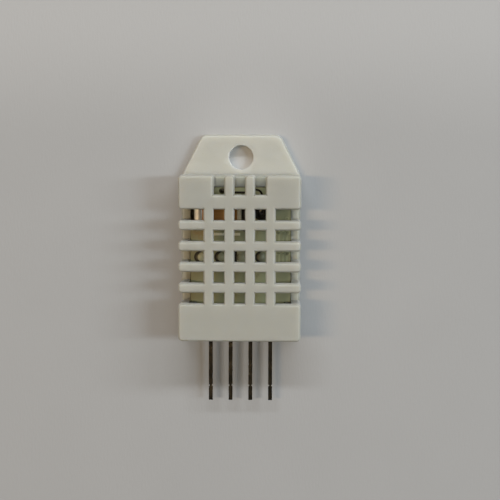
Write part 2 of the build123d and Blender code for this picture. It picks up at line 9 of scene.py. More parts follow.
import bmesh
import bpy
from mathutils import Matrix, Vector


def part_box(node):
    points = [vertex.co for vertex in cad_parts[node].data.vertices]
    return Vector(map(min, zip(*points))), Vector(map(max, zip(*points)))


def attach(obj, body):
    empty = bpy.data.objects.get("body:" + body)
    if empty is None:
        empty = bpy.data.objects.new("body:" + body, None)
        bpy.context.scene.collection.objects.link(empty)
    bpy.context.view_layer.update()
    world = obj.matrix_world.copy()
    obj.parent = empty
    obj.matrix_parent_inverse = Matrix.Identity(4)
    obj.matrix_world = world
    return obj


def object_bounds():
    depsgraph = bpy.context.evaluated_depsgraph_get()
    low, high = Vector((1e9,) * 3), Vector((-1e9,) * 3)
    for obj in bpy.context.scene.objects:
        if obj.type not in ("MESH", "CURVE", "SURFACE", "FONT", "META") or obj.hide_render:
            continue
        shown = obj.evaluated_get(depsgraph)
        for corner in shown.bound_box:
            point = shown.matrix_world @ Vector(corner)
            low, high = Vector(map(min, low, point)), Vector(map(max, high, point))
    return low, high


bl_info = {
    "name": "Sensor module looks",
    "version": (1, 0, 0),
    "blender": (4, 5, 0),
    "location": "3D View > Sidebar > Sensor module",
    "description": "Finishes, board detail and studio for a temperature and humidity sensor module",
    "category": "Object",
}

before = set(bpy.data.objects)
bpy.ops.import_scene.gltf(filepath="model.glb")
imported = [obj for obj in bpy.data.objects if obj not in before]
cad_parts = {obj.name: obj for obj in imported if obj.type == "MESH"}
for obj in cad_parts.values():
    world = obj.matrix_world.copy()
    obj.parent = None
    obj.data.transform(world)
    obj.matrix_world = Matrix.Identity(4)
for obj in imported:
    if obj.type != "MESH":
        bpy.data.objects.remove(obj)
cad_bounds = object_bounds()

MM = 0.001
MM_PER_METRE = 1000.0
BODY = "root"

# Places and sizes on the module, in millimetres
JOINT_LINE = 2.0
# Heights between which the plastic deep in the slots is painted paler, as painted light
SILL_LIGHT_TOP = 6.0
SILL_LIGHT_FLOOR = 2.7
TAB_HOLE = (0.0, 14.12)
TAB_HOLE_REACH = 1.7

# How the plastic's faint clouds change each channel
CLOUD_TINT = (0.93, 0.92, 0.88)

# Pairs of fingers in the comb electrodes under the film
FINGER_PAIRS = 5

# Test points, from left to right
TEST_POINTS = 4
POOL_WIDTH = 1.1
SQUARE_POINT = 2
# How light each test point's solder is painted, as painted light; the first is brightest, a painted highlight
POOL_PAINTED_LIGHT = (1.55, 1.4, 1.25, 0.7)

# Dried flux: each stain's centre, the radius of its core and its outer radius, in millimetres
FLUX_STAINS = (
    ((-5.0, 4.7), 0.5, 1.5),
    ((-0.1, 8.6), 0.3, 1.0),
    ((-3.8, -5.3), 0.7, 1.4),
)

# Traces and the printed line on the board, in millimetres
TRACE_WIDTH = 0.2
TRACE_PAD_HOLE = 0.12
TRACE_PAD_RADIUS = 0.26
TRACE_RUNS = (
    ((4.86, 0.7), (4.86, 5.2)),
    ((5.36, 0.4), (5.36, 5.8)),
    ((5.84, 0.1), (5.84, 6.4)),
    ((4.5, 4.62), (6.0, 4.62)),
    ((4.5, 2.02), (6.0, 2.02)),
    ((3.7, -0.2), (2.9, -0.2), (2.2, -0.9), (0.9, -0.9)),
    ((-3.0, -0.3), (-1.6, -0.3), (-0.8, -1.1)),
    ((-3.9, 3.1), (-1.5, 3.1), (-0.9, 3.7)),
    ((1.9, 3.6), (1.9, 4.9), (2.5, 5.5)),
)
LEGEND_LINE = ((-3.95, 4.42), (-0.05, 4.42))
LEGEND_WIDTH = 0.34
RIM_SLOPE = 0.8

# Lamp panels: how far each leans and spreads, across and along, for each metre of its height
PANELS = {
    "overhead": ((0.02, 0.07), (0.30, 0.30)),
    "left": ((-0.50, 0.05), (0.45, 0.06)),
    "right": ((0.74, 0.07), (0.42, 0.12)),
    "far_right": ((1.30, 0.11), (0.60, 0.10)),
    "upper": ((-0.08, 0.93), (1.00, 0.13)),
    "far_upper": ((1.10, 1.00), (1.20, 0.25)),
}
LUMINANCE = (0.2126, 0.7152, 0.0722)
CEILING_GLOW = 0.02

FloatProperty = bpy.props.FloatProperty
FloatVectorProperty = bpy.props.FloatVectorProperty
PointerProperty = bpy.props.PointerProperty


def paint(red, green, blue):
    """A colour written in screen steps of 0 to 255, as the linear colour that shaders use.

    The numbers are those of the sRGB curve.
    """
    steps = [value / 255 for value in (red, green, blue)]
    return tuple(s / 12.92 if s <= 0.04045 else ((s + 0.055) / 1.055) ** 2.4 for s in steps)


def shade(colour, factor):
    """A colour made darker or lighter by a factor, and never past white."""
    return tuple(min(1.0, channel * factor) for channel in colour)


def colour_property(name, description, default):
    """A colour that a user may change."""
    return FloatVectorProperty(
        name=name, description=description, default=default, subtype="COLOR", size=3, min=0, max=1
    )


def length_property(name, description, default):
    """A length that a user may change."""
    return FloatProperty(
        name=name, description=description, default=default, unit="LENGTH", subtype="DISTANCE", precision=6
    )


def share_property(name, description, default):
    """A fraction that a user may change."""
    return FloatProperty(
        name=name, description=description, default=default, subtype="FACTOR", min=0, max=1
    )


class CaseLook(bpy.types.PropertyGroup):
    """Finish of the two white mouldings."""

    # The two covers are one white plastic; the back and its tab are painted paler than the grille, as painted
    # light
    front_colour: colour_property("Front cover", "Plastic of the grille", paint(172, 171, 162))
    back_lit_colour: colour_property("Back cover", "Plastic of the back and the tab", paint(188, 187, 178))
    wall_colour: colour_property("Walls", "Upright faces of both covers", paint(170, 168, 157))
    # Hole wall: painted light, paler plastic in the tab's hole
    hole_light_colour: colour_property("Hole wall", "Wall of the hole in the tab", paint(230, 228, 220))
    # Sills: painted light, paler plastic deep in the slots
    sill_light_colour: colour_property("Sills", "Plastic sheltered deep in the slots", paint(198, 195, 175))
    # Inside: painted shade on the plastic under the board
    under_board_shade_colour: colour_property("Inside", "Plastic under the board", paint(118, 110, 92))
    # Edges: painted shade, darker plastic on the sloped faces of the rounded edges
    edge_shade_colour: colour_property("Edges", "Plastic soiled along the rounded edges", paint(138, 136, 124))
    grain_size: length_property("Grain size", "Size of the moulded grain", 0.11 * MM)
    grain_depth: length_property("Grain depth", "Depth of the moulded grain", 0.004 * MM)
    edge_width: length_property("Edge width", "How far wear reaches from an edge", 0.12 * MM)
    glow_depth: length_property("Glow depth", "How deep light gets into the plastic", 2.4 * MM)
    glow: share_property("Glow", "How much of the light goes through the plastic", 1.0)


class BoardLook(bpy.types.PropertyGroup):
    """Finish of the circuit board and of what is printed and etched on it."""

    mask_colour: colour_property("Solder mask", "Mask over bare laminate", paint(142, 142, 106))
    copper_colour: colour_property("Traces", "Mask over copper", paint(160, 160, 122))
    core_colour: colour_property("Laminate", "Cut edge of the laminate", paint(136, 126, 84))
    # Rings: painted shade in the rings cut round the test points
    ring_shade_colour: colour_property("Rings", "Rings cut round the test points", paint(16, 14, 9))
    legend_colour: colour_property("Legend", "Printed line", paint(236, 232, 204))
    flux_colour: colour_property("Flux", "Dried flux near the solder", paint(138, 116, 72))
    weave_size: length_property("Weave", "Pitch of the glass weave", 0.26 * MM)
    copper_height: length_property("Copper height", "Height of the traces", 0.03 * MM)
    legend_height: length_property("Legend height", "Height of the printed line", 0.02 * MM)


class MetalLook(bpy.types.PropertyGroup):
    """Finish of pins, solder, plating, clips and wires."""

    pin_colour: colour_property("Pins", "Tinned pins", paint(148, 141, 122))
    tarnish_colour: colour_property("Tarnish", "Darker film on the metal", paint(104, 96, 78))
    tin_colour: colour_property("Solder", "Solder joints and tinned ends", paint(186, 184, 164))
    gold_colour: colour_property("Plating", "Pale gold of the combs and the right clip", paint(244, 234, 208))
    pool_colour: colour_property("Pooled solder", "Solder in the test points", paint(150, 148, 120))
    clip_colour: colour_property("Bright clip", "Left clip of the humidity element", paint(212, 214, 212))
    wire_colour: colour_property("Wire", "Leads of the bead", paint(52, 47, 38))


class SensorLook(bpy.types.PropertyGroup):
    """Finish of the humidity element, the bead and the small chips."""

    film_colour: colour_property("Film", "Humidity-sensing film", paint(188, 132, 66))
    ceramic_colour: colour_property("Ceramic", "Carrier plate", paint(214, 208, 192))
    bead_colour: colour_property("Bead", "Black dipping resin", paint(22, 20, 18))
    dust_colour: colour_property("Dust", "Specks of dust on the bead", paint(120, 116, 108))
    oxide_colour: colour_property("Sensing chip", "Dark ceramic in the bead", paint(60, 56, 54))
    resin_colour: colour_property("Chip resin", "Body of the microcontroller", paint(38, 38, 40))
    capacitor_colour: colour_property("Capacitor", "Ceramic of the capacitor", paint(150, 116, 82))
    resistor_colour: colour_property("Resistor", "Glaze of the resistors", paint(34, 32, 34))


class StudioSetup(bpy.types.PropertyGroup):
    """Paper, lamps and camera."""

    paper_colour: colour_property("Paper", "Paper under the module", paint(165, 164, 161))
    paper_reach: length_property("Paper reach", "Half the width of the paper", 3.0)
    panel_height: length_property("Panel height", "Height of the lamp panels over the paper", 0.7)
    overhead_share: share_property("Overhead panel", "Its share of the light on the paper", 0.09)
    left_share: share_property("Left panel", "Its share of the light on the paper", 0.175)
    right_share: share_property("Right panel", "Its share of the light on the paper", 0.165)
    far_right_share: share_property("Far right panel", "Its share of the light on the paper", 0.057)
    upper_share: share_property("Upper panel", "Its share of the light on the paper", 0.30)
    far_upper_share: share_property("Far upper panel", "Its share of the light on the paper", 0.14)
    sky_share: share_property("Room light", "Its share of the light on the paper", 0.07)
    overhead_tint: colour_property("Overhead tint", "Colour of the overhead panel", (1.0, 0.94, 0.82))
    left_tint: colour_property("Left tint", "Colour of the left panel", (1.0, 0.71, 0.42))
    right_tint: colour_property("Right tint", "Colour of the right panel", (0.69, 0.84, 1.0))
    far_right_tint: colour_property("Far right tint", "Colour of the far right panel", (0.85, 0.95, 1.0))
    upper_tint: colour_property("Upper tint", "Colour of the upper panel", (0.87, 0.92, 1.0))
    far_upper_tint: colour_property("Far upper tint", "Colour of the far upper panel", (0.85, 0.91, 1.0))
    camera_place: FloatVectorProperty(
        name="Camera place",
        description="Where the camera stands",
        default=(4.16 * MM, 12.97 * MM, 146.7 * MM),
        subtype="TRANSLATION",
        unit="LENGTH",
        precision=6,
    )
    camera_turn: FloatVectorProperty(
        name="Camera turn",
        description="Turn of the camera from straight down, as one axis times its angle",
        default=tuple(math.radians(angle) for angle in (-4.2, 1.19, 0.23)),
        subtype="XYZ",
        precision=6,
    )
    lens: FloatProperty(name="Lens", description="Focal length in millimetres", default=81.94, min=1)


class Term:
    """An output socket in shader maths: + - and * add the nodes that work them out."""

    def __init__(self, graph, socket):
        self.graph = graph
        self.socket = socket

    def __add__(self, other):
        return self.graph.combine("ADD", self, other)

    def __radd__(self, other):
        return self.graph.combine("ADD", other, self)

    def __sub__(self, other):
        return self.graph.combine("SUBTRACT", self, other)

    def __rsub__(self, other):
        return self.graph.combine("SUBTRACT", other, self)

    def __mul__(self, other):
        return self.graph.combine("MULTIPLY", self, other)

    def __rmul__(self, other):
        return self.graph.combine("MULTIPLY", other, self)


def find_socket(sockets, key):
    """A socket by its number, or by its identifier or name."""
    if isinstance(key, int):
        return sockets[key]
    for socket in sockets:
        if socket.identifier == key:
            return socket
    return sockets[key]


class Graph:
    """A node tree that is filled through one method."""

    def __init__(self, tree):
        self.tree = tree
        self.tree.nodes.clear()

    def node(self, kind, settings=None, sockets=None, output=0):
        """Adds a node: first its settings, then the values or links of its sockets."""
        made = self.tree.nodes.new(kind)
        for name, value in (settings or {}).items():
            setattr(made, name, value)
        for key, value in (sockets or {}).items():
            socket = find_socket(made.inputs, key)
            if isinstance(value, Term):
                self.tree.links.new(value.socket, socket)
            elif socket.type == "RGBA" and not isinstance(value, (int, float)) and len(value) == 3:
                socket.default_value = (*value, 1.0)
            else:
                socket.default_value = value
        outputs = made.outputs
        return Term(self, find_socket(outputs, output)) if outputs else None

    def combine(self, operation, first, second):
        """Two values, vectors or colours in one Math, Vector Math or Mix node."""
        kinds = {term.socket.type for term in (first, second) if isinstance(term, Term)}
        if "RGBA" in kinds:
            return self.node(
                "ShaderNodeMix",
                {"data_type": "RGBA", "blend_type": operation},
                {"Factor_Float": 1.0, "A_Color": as_triple(first), "B_Color": as_triple(second)},
                "Result_Color",
            )
        if "VECTOR" in kinds:
            return self.node(
                "ShaderNodeVectorMath",
                {"operation": operation},
                {0: as_triple(first), 1: as_triple(second)},
            )
        return self.node("ShaderNodeMath", {"operation": operation}, {0: first, 1: second})

    def blend(self, factor, low, high):
        """One colour turning into another as the factor rises from 0 to 1."""
        return self.node(
            "ShaderNodeMix",
            {"data_type": "RGBA", "clamp_factor": True},
            {"Factor_Float": factor, "A_Color": low, "B_Color": high},
            "Result_Color",
        )

    def step(self, value, low, high):
        """0 below low, 1 above high and smooth in between; low may be the larger one."""
        return self.node(
            "ShaderNodeMapRange",
            {"interpolation_type": "SMOOTHSTEP"},
            {"Value": value, "From Min": low, "From Max": high, "To Min": 0.0, "To Max": 1.0},
        )

    def place(self, stretch=(1, 1, 1)):
        """The place on the object in millimetres, stretched along each axis."""
        here = self.node("ShaderNodeTexCoord", output="Object")
        return here * tuple(MM_PER_METRE * s for s in stretch)

    def noise(self, where, size, detail=2.0, rough=0.5):
        """Soft noise from 0 to 1 with blotches of about the given size."""
        return self.node(
            "ShaderNodeTexNoise",
            {"noise_dimensions": "3D"},
            {"Vector": where, "Scale": 1.0 / size, "Detail": detail, "Roughness": rough},
            "Fac",
        )

    def part(self, vector, axis):
        """One of X, Y or Z of a vector."""
        return self.node("ShaderNodeSeparateXYZ", None, {0: vector}, axis)

    def facing(self, axis):
        """How far the surface faces along X, Y or Z, from -1 to 1."""
        return self.part(self.node("ShaderNodeNewGeometry", output="True Normal"), axis)

    def wave(self, angle):
        """The sine of an angle, from -1 to 1."""
        return self.node("ShaderNodeMath", {"operation": "SINE"}, {0: angle})

    def spot(self, where, centre, near, far):
        """1 close to a line that runs up through a centre, 0 beyond the far distance."""
        away = self.node(
            "ShaderNodeVectorMath",
            {"operation": "DISTANCE"},
            {0: where * (1, 1, 0), 1: (*centre, 0)},
            "Value",
        )
        return self.step(away, low=far, high=near)

    def edges(self, width):
        """How sharply the surface turns within a width: 0 on flats, rising at edges."""
        rounded = self.node("ShaderNodeBevel", {"samples": 4}, {"Radius": width})
        plain = self.node("ShaderNodeNewGeometry", output="Normal")
        alike = self.node(
            "ShaderNodeVectorMath", {"operation": "DOT_PRODUCT"}, {0: rounded, 1: plain}, "Value"
        )
        return self.step(alike, low=0.995, high=0.86)

    def bump(self, height, depth):
        """A normal from a height between 0 and 1 that stands for a depth in metres."""
        return self.node("ShaderNodeBump", None, {"Strength": 1.0, "Distance": depth, "Height": height})

    def surface(self, **sockets):
        """The one shader of a material, with its sockets named as words."""
        named = {
            key.replace("_", " ").title().replace("Ior", "IOR"): value for key, value in sockets.items()
        }
        shader = self.node("ShaderNodeBsdfPrincipled", None, named)
        self.node("ShaderNodeOutputMaterial", None, {"Surface": shader})


def as_triple(value):
    """A plain number as three of it, for a grey or an even vector, and anything else as it is."""
    return (value, value, value) if isinstance(value, (int, float)) else value


def new_material(name):
    """An empty material and the graph of its nodes."""
    material = bpy.data.materials.new(name)
    material.use_nodes = True
    return material, Graph(material.node_tree)


def finish_nodes(material, *names):
    """Gives carried-over CAD nodes their material."""
    for name in names:
        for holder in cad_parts[name].material_slots:
            holder.material = material


def moulded_plastic(name, base, look):
    """White moulded plastic: grain, clouds, and a tone each for walls, sills and inside; the rounded edges
    and the inside carry painted shade, the sills and the hole wall painted light.
    """
    material, graph = new_material(name)
    case_foot, case_head = (corner.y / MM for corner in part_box("front_cover"))
    where = graph.place()
    along = graph.part(where, "Y")
    height = graph.part(where, "Z")
    rise = graph.facing("Z")
    steepness = rise * rise
    clouds = graph.noise(where, size=5.0, detail=3.0)
    grain = graph.noise(where, size=look.grain_size / MM, detail=3.0, rough=0.6)
    specks = graph.step(graph.noise(where, size=0.35, detail=1.0), low=0.70, high=0.76)
    clouded = tuple(channel * factor for channel, factor in zip(base, CLOUD_TINT))
    tint = graph.blend(clouds * 0.5, base, clouded)
    # The plastic turns to the sills' paler tone on the way down into the slots, as painted light, and ends
    # above the joint line
    lightened = graph.step(height, low=SILL_LIGHT_TOP, high=SILL_LIGHT_FLOOR)
    lightened = lightened * graph.step(height, low=JOINT_LINE + 0.1, high=JOINT_LINE + 0.3)
    tint = graph.blend(lightened * 0.6, tint, look.sill_light_colour)
    # Sloped faces, as on the rounded edges, are painted darker as painted shade
    shaded = graph.step(steepness, low=0.94, high=0.64)
    tint = graph.blend(shaded * 0.55, tint, look.edge_shade_colour)
    # Upright faces: the walls of the case, the rim of the tab and the wall of its hole, which is painted
    # paler as painted light
    on_tab = graph.step(along, low=case_head, high=case_head + 0.5)
    in_hole = graph.spot(where, TAB_HOLE, near=TAB_HOLE_REACH, far=TAB_HOLE_REACH + 0.3)
    wall = graph.blend(in_hole, graph.blend(on_tab, look.wall_colour, base), look.hole_light_colour)
    tint = graph.blend(graph.step(steepness, low=0.10, high=0.02), tint, wall)
    tint = graph.blend(specks * 0.12, tint, shade(base, 0.6))
    # Plastic inside the back cover, under the board, is painted darker as painted shade
    tint = graph.blend(under_board(graph, where, case_foot, case_head), tint, look.under_board_shade_colour)
    graph.surface(
        base_color=tint,
        roughness=0.58 + grain * 0.14 - graph.edges(look.edge_width) * 0.08,
        normal=graph.bump(grain, look.grain_depth),
        subsurface_weight=look.glow,
        subsurface_scale=look.glow_depth,
        subsurface_radius=(1.0, 0.95, 0.85),
        subsurface_anisotropy=0.4,
        specular_ior_level=0.25,
    )
    return material


def under_board(graph, where, case_foot, case_head):
    """1 inside the back cover, under the board, and 0 on its outer faces and round the pins."""
    across = graph.part(where, "X")
    along = graph.part(where, "Y")
    height = graph.part(where, "Z")
    inside = graph.step(height, low=JOINT_LINE + 0.06, high=JOINT_LINE)
    # These limits lie within the thickness of the floor, the side walls and the upper wall; those of the
    # side walls are squares, to take in both
    inside = inside * graph.step(height, low=0.6, high=0.8)
    inside = inside * graph.step(across * across, low=44.0, high=42.0)
    inside = inside * graph.step(along, low=case_head - 0.8, high=case_head - 1.0)
    # The last one keeps clear of the opening round the pins
    return inside * graph.step(along, low=case_foot + 2.5, high=case_foot + 3.0)


def solder_mask(look):
    """Olive solder mask over woven laminate, with cut edges, dried flux, a paler middle as painted light and
    painted shade in the cut rings.
    """
    material, graph = new_material("solder_mask")
    where = graph.place()
    across = graph.part(where, "X")
    along = graph.part(where, "Y")
    clouds = graph.noise(where, size=2.6)
    dust = graph.noise(where, size=0.12)
    # Turn of the weave's waves for each millimetre
    turn = 2 * math.pi * MM / look.weave_size
    weave = graph.wave(across * turn) * graph.wave(along * turn) * 0.5 + 0.5
    mask = graph.blend(clouds, shade(look.mask_colour, 0.86), look.mask_colour)
    mask = graph.blend(weave * 0.10, mask, look.core_colour)
    # The mask is painted paler along the middle of the board, most of all towards the pins, as painted light;
    # the first two limits are squares, to take in both sides
    middle = graph.step(across * across, low=18.0, high=12.0)
    middle = middle * (0.45 + graph.step(along, low=0.5, high=-1.5) * 0.55)
    mask = graph.blend(middle, mask, shade(look.mask_colour, 1.3))
    for centre, near, far in FLUX_STAINS:
        patches = graph.step(graph.noise(where, size=0.6), low=0.30, high=0.62)
        stain = graph.spot(where, centre, near, far) * patches
        mask = graph.blend(stain * 0.75, mask, look.flux_colour)
    rise = graph.facing("Z")
    # The rings cut round the test points are the one upward face below the board's top
    top = board_top() / MM
    ring = graph.step(graph.part(where, "Z"), low=top - 0.02, high=top - 0.06)
    ring = ring * graph.step(rise, low=0.3, high=0.6)
    for x, y in test_point_centres():
        # The painted shade is taken off each ring's right side, where light falls
        ring = ring * (1 - graph.spot(where, (x + 0.5, y), near=0.66, far=0.84) * 0.8)
    # The cut rings are painted near-black, as painted shade
    mask = graph.blend(ring, mask, look.ring_shade_colour)
    flat = graph.step(rise * rise, low=0.3, high=0.6)
    graph.surface(
        base_color=graph.blend(flat, look.core_colour, mask),
        roughness=0.30 + dust * 0.18 + (1 - flat) * 0.4,
        normal=graph.bump(weave * 0.7 + dust * 0.3, depth=0.006 * MM),
        coat_weight=flat * 0.2,
        coat_roughness=0.2,
    )
    return material


def coated_detail(name, colour, rough):
    """Thin printed or etched detail: even colour, slightly broken up."""
    material, graph = new_material(name)
    wear = graph.noise(graph.place(), size=0.22, detail=3.0)
    graph.surface(
        base_color=graph.blend(wear, shade(colour, 0.84), colour),
        roughness=rough + wear * 0.15,
        normal=graph.bump(wear, depth=0.004 * MM),
    )
    return material


def strip_metal(name, bright, dull, rough, stretch=(1, 1, 1), depth=0.003 * MM, metallic=1.0):
    """Stamped or drawn metal: lines along the strip, with a dull film in patches."""
    material, graph = new_material(name)
    lines = graph.noise(graph.place(stretch), size=0.08, detail=3.0, rough=0.6)
    film = graph.step(graph.noise(graph.place(), size=0.9, detail=3.0), low=0.35, high=0.68)
    rubbed = graph.edges(0.05 * MM)
    tint = graph.blend(film * 0.8, bright, dull)
    graph.surface(
        base_color=graph.blend(rubbed * 0.5, tint, bright),
        metallic=metallic,
        roughness=rough + film * 0.12 + lines * 0.10,
        normal=graph.bump(lines, depth),
    )
    return material


def solder_metal(name, bright, rough):
    """Frozen solder: bright skin with dull frosted patches and small dimples."""
    material, graph = new_material(name)
    where = graph.place()
    frost = graph.step(graph.noise(where, size=0.35, detail=3.0), low=0.42, high=0.64)
    dimples = graph.noise(where, size=0.14)
    graph.surface(
        base_color=graph.blend(frost * 0.5, bright, shade(bright, 0.72)),
        metallic=1.0,
        roughness=rough + frost * 0.2,
        normal=graph.bump(dimples, depth=0.004 * MM),
    )
    return material


def pooled_solder(look):
    """Dull solder in the test points, each painted in its own tone as painted light, with a dark left rim and
    darker left faces as painted shade.
    """
    material, graph = new_material("pooled_solder")
    where = graph.place()
    across = graph.part(where, "X")
    frost = graph.noise(where, size=0.3, detail=3.0)
    dull = look.pool_colour
    centres = test_point_centres()
    tint = graph.blend(frost * 0.4, dull, shade(dull, 0.7))
    # Each test point gets its own painted light, brightest on the first as a painted highlight
    for centre, factor in zip(centres, POOL_PAINTED_LIGHT):
        tint = graph.blend(graph.spot(where, centre, near=0.6, far=1.0), tint, shade(dull, factor))
    # A dark rim on the left of each test point is painted shade; the square one gets a dark band on its left
    rim = 1.0
    for i, (x, y) in enumerate(centres):
        if i == SQUARE_POINT:
            clear = graph.step(across, low=x - 0.44, high=x - 0.36)
            clear = clear * graph.step(across, low=x + 1.3, high=x + 1.2)
        else:
            clear = graph.spot(where, (x + 0.22, y), near=0.50, far=0.62)
        rim = rim * (1 - clear)
    tint = graph.blend(rim * 0.95, tint, shade(look.wire_colour, 0.5))
    # Faces turned to the left take the tarnish colour, as painted shade
    shadowed = graph.step(graph.facing("X"), low=-0.15, high=-0.45)
    graph.surface(
        base_color=graph.blend(shadowed * 0.8, tint, look.tarnish_colour),
        metallic=0.5,
        roughness=0.5 + frost * 0.15,
        normal=graph.bump(frost, depth=0.006 * MM),
    )
    return material


def sensing_film(look):
    """Amber polymer film that shows the comb under it as faint ridges."""
    material, graph = new_material("amber_film")
    where = graph.place()
    low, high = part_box("comb_electrodes")
    # Turn of the ridges' waves for each millimetre
    turn = 2 * math.pi * FINGER_PAIRS * MM / (high.y - low.y)
    ridges = graph.wave(graph.part(where, "Y") * turn) * 0.5 + 0.5
    clouds = graph.noise(where, size=0.9, detail=3.0)
    tint = graph.blend(clouds, shade(look.film_colour, 0.80), look.film_colour)
    graph.surface(
        base_color=graph.blend(ridges * 0.14, tint, shade(look.film_colour, 1.5)),
        roughness=0.42 + clouds * 0.12,
        normal=graph.bump(ridges * 0.6 + clouds * 0.4, depth=0.008 * MM),
        coat_weight=0.1,
        coat_roughness=0.25,
    )
    return material


def fired_ceramic(name, colour, rough=0.55):
    """Matt fired ceramic with a fine grain."""
    material, graph = new_material(name)
    where = graph.place()
    grain = graph.noise(where, size=0.06, detail=3.0, rough=0.6)
    clouds = graph.noise(where, size=0.8)
    graph.surface(
        base_color=graph.blend(clouds * 0.6, colour, shade(colour, 0.88)),
        roughness=rough + grain * 0.2,
        normal=graph.bump(grain, depth=0.004 * MM),
    )
    return material


def dipped_resin(look):
    """Black dipping resin: glossy, slightly lumpy, with a few dust specks."""
    material, graph = new_material("dipped_resin")
    where = graph.place()
    lumps = graph.noise(where, size=0.7)
    dust = graph.step(graph.noise(where, size=0.09, detail=1.0), low=0.72, high=0.80)
    graph.surface(
        base_color=graph.blend(dust * 0.5, look.bead_colour, look.dust_colour),
        roughness=0.10 + lumps * 0.08 + dust * 0.3,
        normal=graph.bump(lumps, depth=0.008 * MM),
    )
    return material


def moulded_resin(look):
    """Matt black moulding resin of a chip, grained, with a marking dimple in one corner."""
    material, graph = new_material("moulded_resin")
    where = graph.place()
    grain = graph.noise(where, size=0.05, detail=3.0, rough=0.6)
    low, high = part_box("microcontroller_body")
    from_edge = 0.6
    dimple = graph.spot(where, (low.x / MM + from_edge, high.y / MM - from_edge), near=0.22, far=0.26)
    graph.surface(
        base_color=graph.blend(grain * 0.5, look.resin_colour, shade(look.resin_colour, 1.5)),
        roughness=0.62 + grain * 0.12 - dimple * 0.3,
        normal=graph.bump(grain * 0.06 + (1 - dimple), depth=0.06 * MM),
    )
    return material


def add_ribbon(sheet, points, width, low, high):
    """A flat closed strip along the points, with mitred corners and sloping sides."""
    slope = (high - low) * RIM_SLOPE
    section = ((1, low), (1, high), (-1, high), (-1, low))
    rows = []
    for i, point in enumerate(points):
        before = (point - points[i - 1]).normalized() if i else None
        after = (points[i + 1] - point).normalized() if i + 1 < len(points) else None
        along = ((before or after) + (after or before)).normalized()
        square = Vector((-along.y, along.x))
        leg = before or after
        reach = 1 / square.dot(Vector((-leg.y, leg.x)))
        row = []
        for side, height in section:
            half = width / 2 - (slope if height == high else 0)
            row.append(sheet.verts.new((*(point + square * side * half * reach), height)))
        rows.append(row)
    for one, two in zip(rows, rows[1:]):
        for j in range(len(section)):
            k = (j + 1) % len(section)
            sheet.faces.new((one[j], one[k], two[k], two[j]))
    sheet.faces.new(rows[0][::-1])
    sheet.faces.new(rows[-1])


def add_ring(sheet, centre, inner, outer, low, high, sides=28):
    """A closed flat ring with sloping rims."""
    slope = (high - low) * RIM_SLOPE
    profile = ((outer, low), (outer - slope, high), (inner + slope, high), (inner, low))
    rows = []
    for i in range(sides):
        angle = 2 * math.pi * i / sides
        spoke = Vector((math.cos(angle), math.sin(angle)))
        rows.append(
            [sheet.verts.new((*(centre + spoke * radius), height)) for radius, height in profile]
        )
    for i, one in enumerate(rows):
        two = rows[(i + 1) % sides]
        for j in range(len(profile)):
            k = (j + 1) % len(profile)
            sheet.faces.new((one[j], two[j], two[k], one[k]))


def new_piece(name, material, sheet):
    """A finished mesh piece of the module, riding on its body."""
    bmesh.ops.recalc_face_normals(sheet, faces=sheet.faces)
    mesh = bpy.data.meshes.new(name)
    sheet.to_mesh(mesh)
    sheet.free()
    mesh.materials.append(material)
    piece = bpy.data.objects.new(name, mesh)
    bpy.context.scene.collection.objects.link(piece)
    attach(piece, BODY)


def board_top():
    """Height of the board's front face."""
    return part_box("circuit_board")[1].z


def test_point_centres():
    """Centres of the test points, in millimetres."""
    low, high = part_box("test_point_solder")
    first = low.x / MM + POOL_WIDTH / 2
    pitch = ((high.x - low.x) / MM - POOL_WIDTH) / (TEST_POINTS - 1)
    middle = (low.y + high.y) / 2 / MM
    return [(first + i * pitch, middle) for i in range(TEST_POINTS)]


def flat_points(places):
    """Places on the board, given in millimetres."""
    return [Vector((x * MM, y * MM)) for x, y in places]


class SENSOR_OT_case(bpy.types.Operator):
    """Give the two covers their moulded plastic"""

    bl_idname = "sensor.case"
    bl_label = "Case"

    def execute(self, context):
        look = context.scene.sensor_case
        finish_nodes(moulded_plastic("front_plastic", look.front_colour, look), "front_cover")
        # The back cover's paler tone is painted light
        finish_nodes(moulded_plastic("back_plastic", look.back_lit_colour, look), "back_cover")
        return {"FINISHED"}


class SENSOR_OT_board(bpy.types.Operator):
    """Give the board its mask, and add its traces, their end pads and the printed line"""

    bl_idname = "sensor.board"
    bl_label = "Circuit board"

    def execute(self, context):
        look = context.scene.sensor_board
        finish_nodes(solder_mask(look), "circuit_board")
        top = board_top()
        copper_top = top + look.copper_height
        copper = bmesh.new()
        for run in TRACE_RUNS:
            points = flat_points(run)
            add_ribbon(copper, points, TRACE_WIDTH * MM, top, copper_top)
            for end in (points[0], points[-1]):
                add_ring(copper, end, TRACE_PAD_HOLE * MM, TRACE_PAD_RADIUS * MM, top, copper_top)
        traces = coated_detail("masked_copper", look.copper_colour, rough=0.30)
        new_piece("copper_traces", traces, copper)
        legend = bmesh.new()
        add_ribbon(legend, flat_points(LEGEND_LINE), LEGEND_WIDTH * MM, top, top + look.legend_height)
        print_ink = coated_detail("printed_legend", look.legend_colour, rough=0.6)
        new_piece("legend_outline", print_ink, legend)
        return {"FINISHED"}


